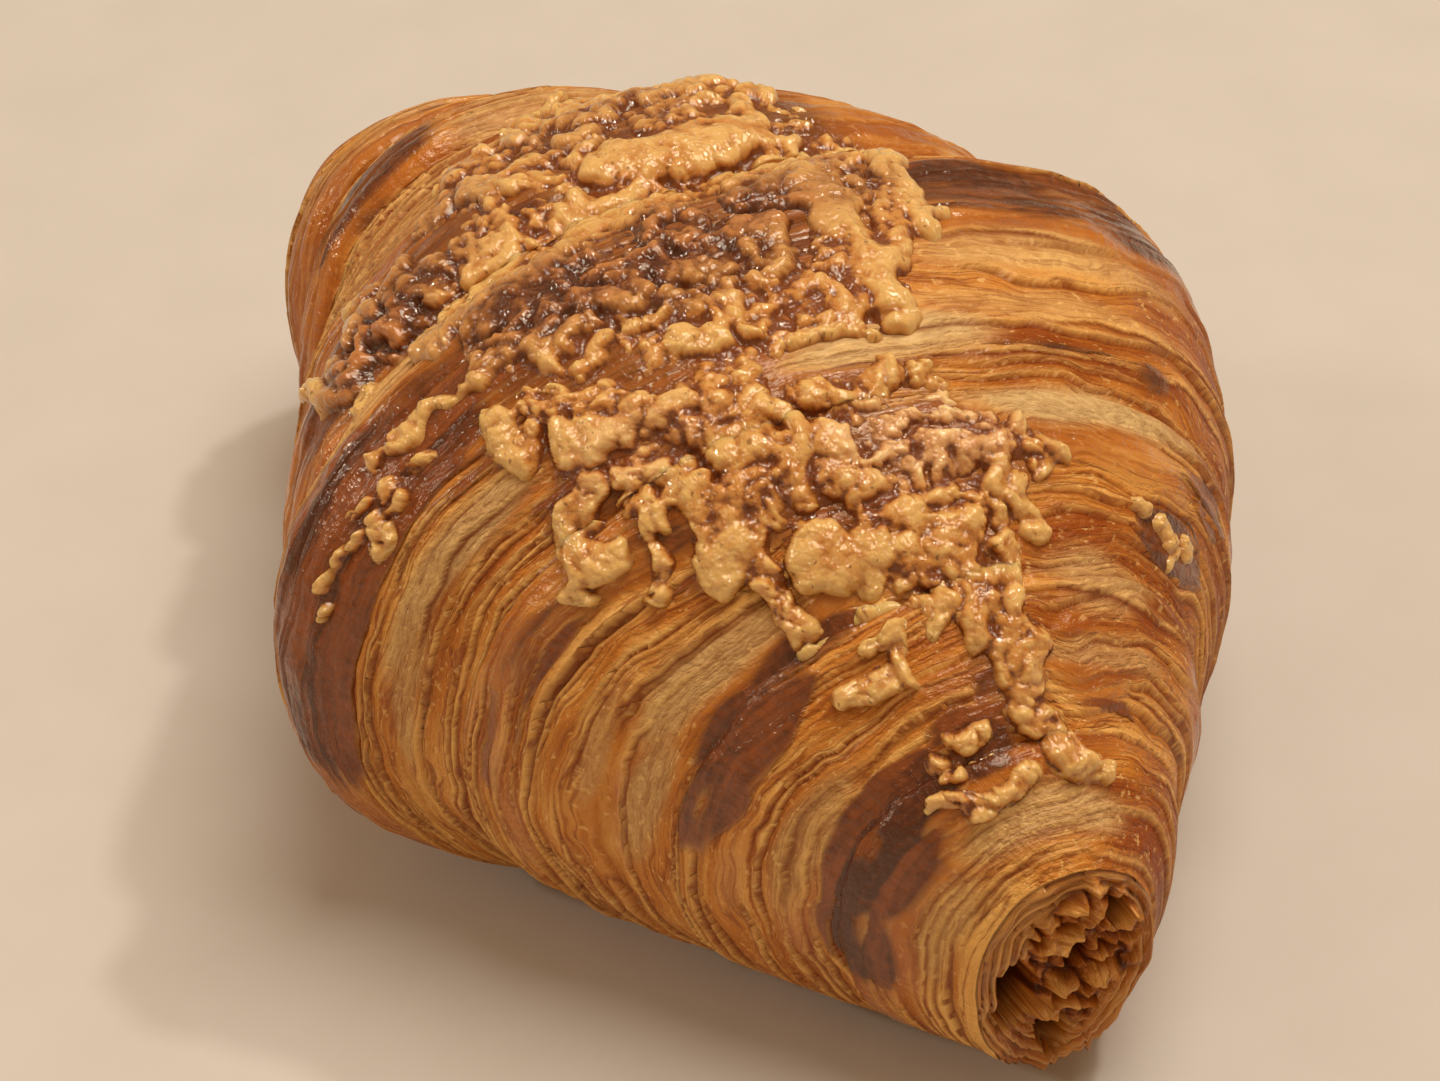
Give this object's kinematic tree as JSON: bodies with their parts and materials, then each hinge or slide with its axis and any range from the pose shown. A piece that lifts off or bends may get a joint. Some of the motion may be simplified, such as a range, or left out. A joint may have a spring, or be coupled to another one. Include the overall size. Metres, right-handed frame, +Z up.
{
  "type": "cheese croissant",
  "caption": "Fat, straight croissant of rolled flaky dough, open at one tip, with melted shreds and lumps of cheese baked onto its crest.",
  "frame": {"origin": "on the surface the croissant lies on, under the middle of its bounding box", "axes": "+X along the roll towards its open tip, +Y across it, +Z up to the crest with the cheese"},
  "size_m": [0.1376, 0.0996, 0.0714],
  "materials": {
    "crust": "baked golden brown crust with an egg-wash sheen, pale cut layers and browned cheese",
    "cheese": "melted and browned cheese, golden on its lumps and reddish brown between them"
  },
  "bodies": {
    "root": {"croissant": "crust"}
  },
  "joints": []
}
